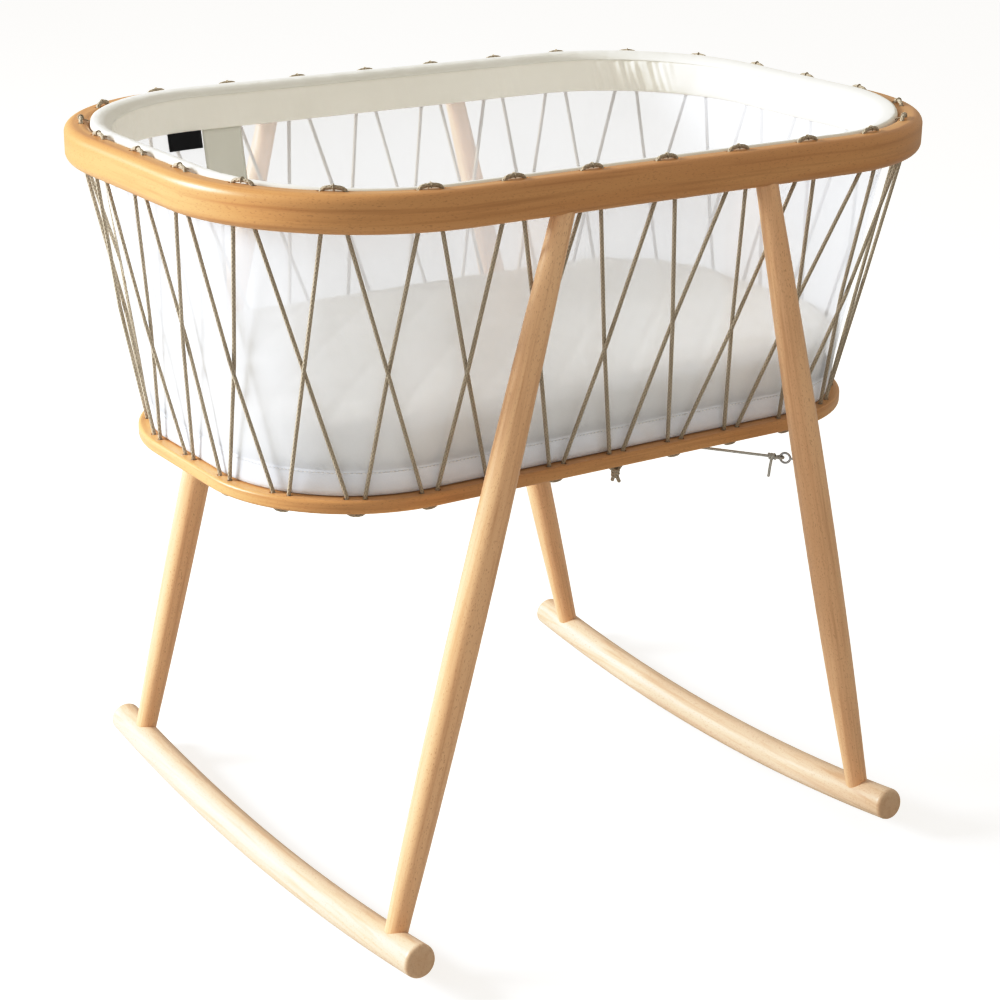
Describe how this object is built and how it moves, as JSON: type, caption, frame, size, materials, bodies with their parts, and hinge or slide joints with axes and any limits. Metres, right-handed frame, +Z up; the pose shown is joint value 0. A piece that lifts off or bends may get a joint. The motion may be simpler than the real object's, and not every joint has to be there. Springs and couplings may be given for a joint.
{
  "type": "rocking cradle",
  "caption": "Rocking cradle: a mesh-lined basket laced between a bentwood hoop and a base ring, on turned splayed legs and curved rockers, with a lift-out mattress.",
  "frame": {"origin": "on the floor, under the middle of the cradle, at the height where the rockers touch the floor", "axes": "+Z up, +X along the basket, +Y across it; the rockers run along Y and rock about X"},
  "size_m": [0.84, 0.6472, 0.7689],
  "materials": {
    "bent_beech": "satin oil",
    "turned_beech": "satin oil",
    "birch_ply": "satin lacquer",
    "zinc_steel": "zinc plated",
    "brass_insert": "plain",
    "white_cotton": "plain weave",
    "sheer_mesh": "sheer knitted mesh",
    "white_tape": "woven tape",
    "cream_cotton": "plain weave",
    "cream_binding": "folded bias tape",
    "black_label": "satin weave label, blank",
    "pale_label": "printed-cloth label, blank",
    "lacing_cord": "waxed braided cord",
    "tie_cord": "thin braided cord",
    "foam": "open-cell foam",
    "mattress_cotton": "quilted cotton"
  },
  "bodies": {
    "cradle": {"top_hoop": "bent_beech", "bottom_ring": "bent_beech", "base_board": "birch_ply", "board_screws": "zinc_steel", "liner_floor": "white_cotton", "liner_mesh": "sheer_mesh", "liner_hem": "white_tape", "padded_rim": "cream_cotton", "liner_binding": "cream_binding", "liner_loops": "cream_binding", "small_label": "black_label", "care_label": "pale_label", "lace_a": "lacing_cord", "lace_b": "lacing_cord", "lace_knot_back": "lacing_cord", "lace_knot_front": "lacing_cord", "leg_front_left": "turned_beech", "leg_front_right": "turned_beech", "leg_back_left": "turned_beech", "leg_back_right": "turned_beech", "rocker_left": "turned_beech", "rocker_right": "turned_beech", "hoop_inserts": "brass_insert", "hanger_bolts": "zinc_steel", "foot_inserts": "brass_insert", "foot_bolts": "zinc_steel", "tie_eyes": "zinc_steel", "tie_cord_a": "tie_cord", "tie_cord_b": "tie_cord", "tie_knots": "tie_cord"},
    "mattress": {"mattress_core": "foam", "mattress_cover": "mattress_cotton"}
  },
  "joints": [
    {"name": "mattress_lift", "type": "slide", "parent": "cradle", "child": "mattress", "axis": [0, 0, 1], "range_m": [0, 0.36]}
  ]
}
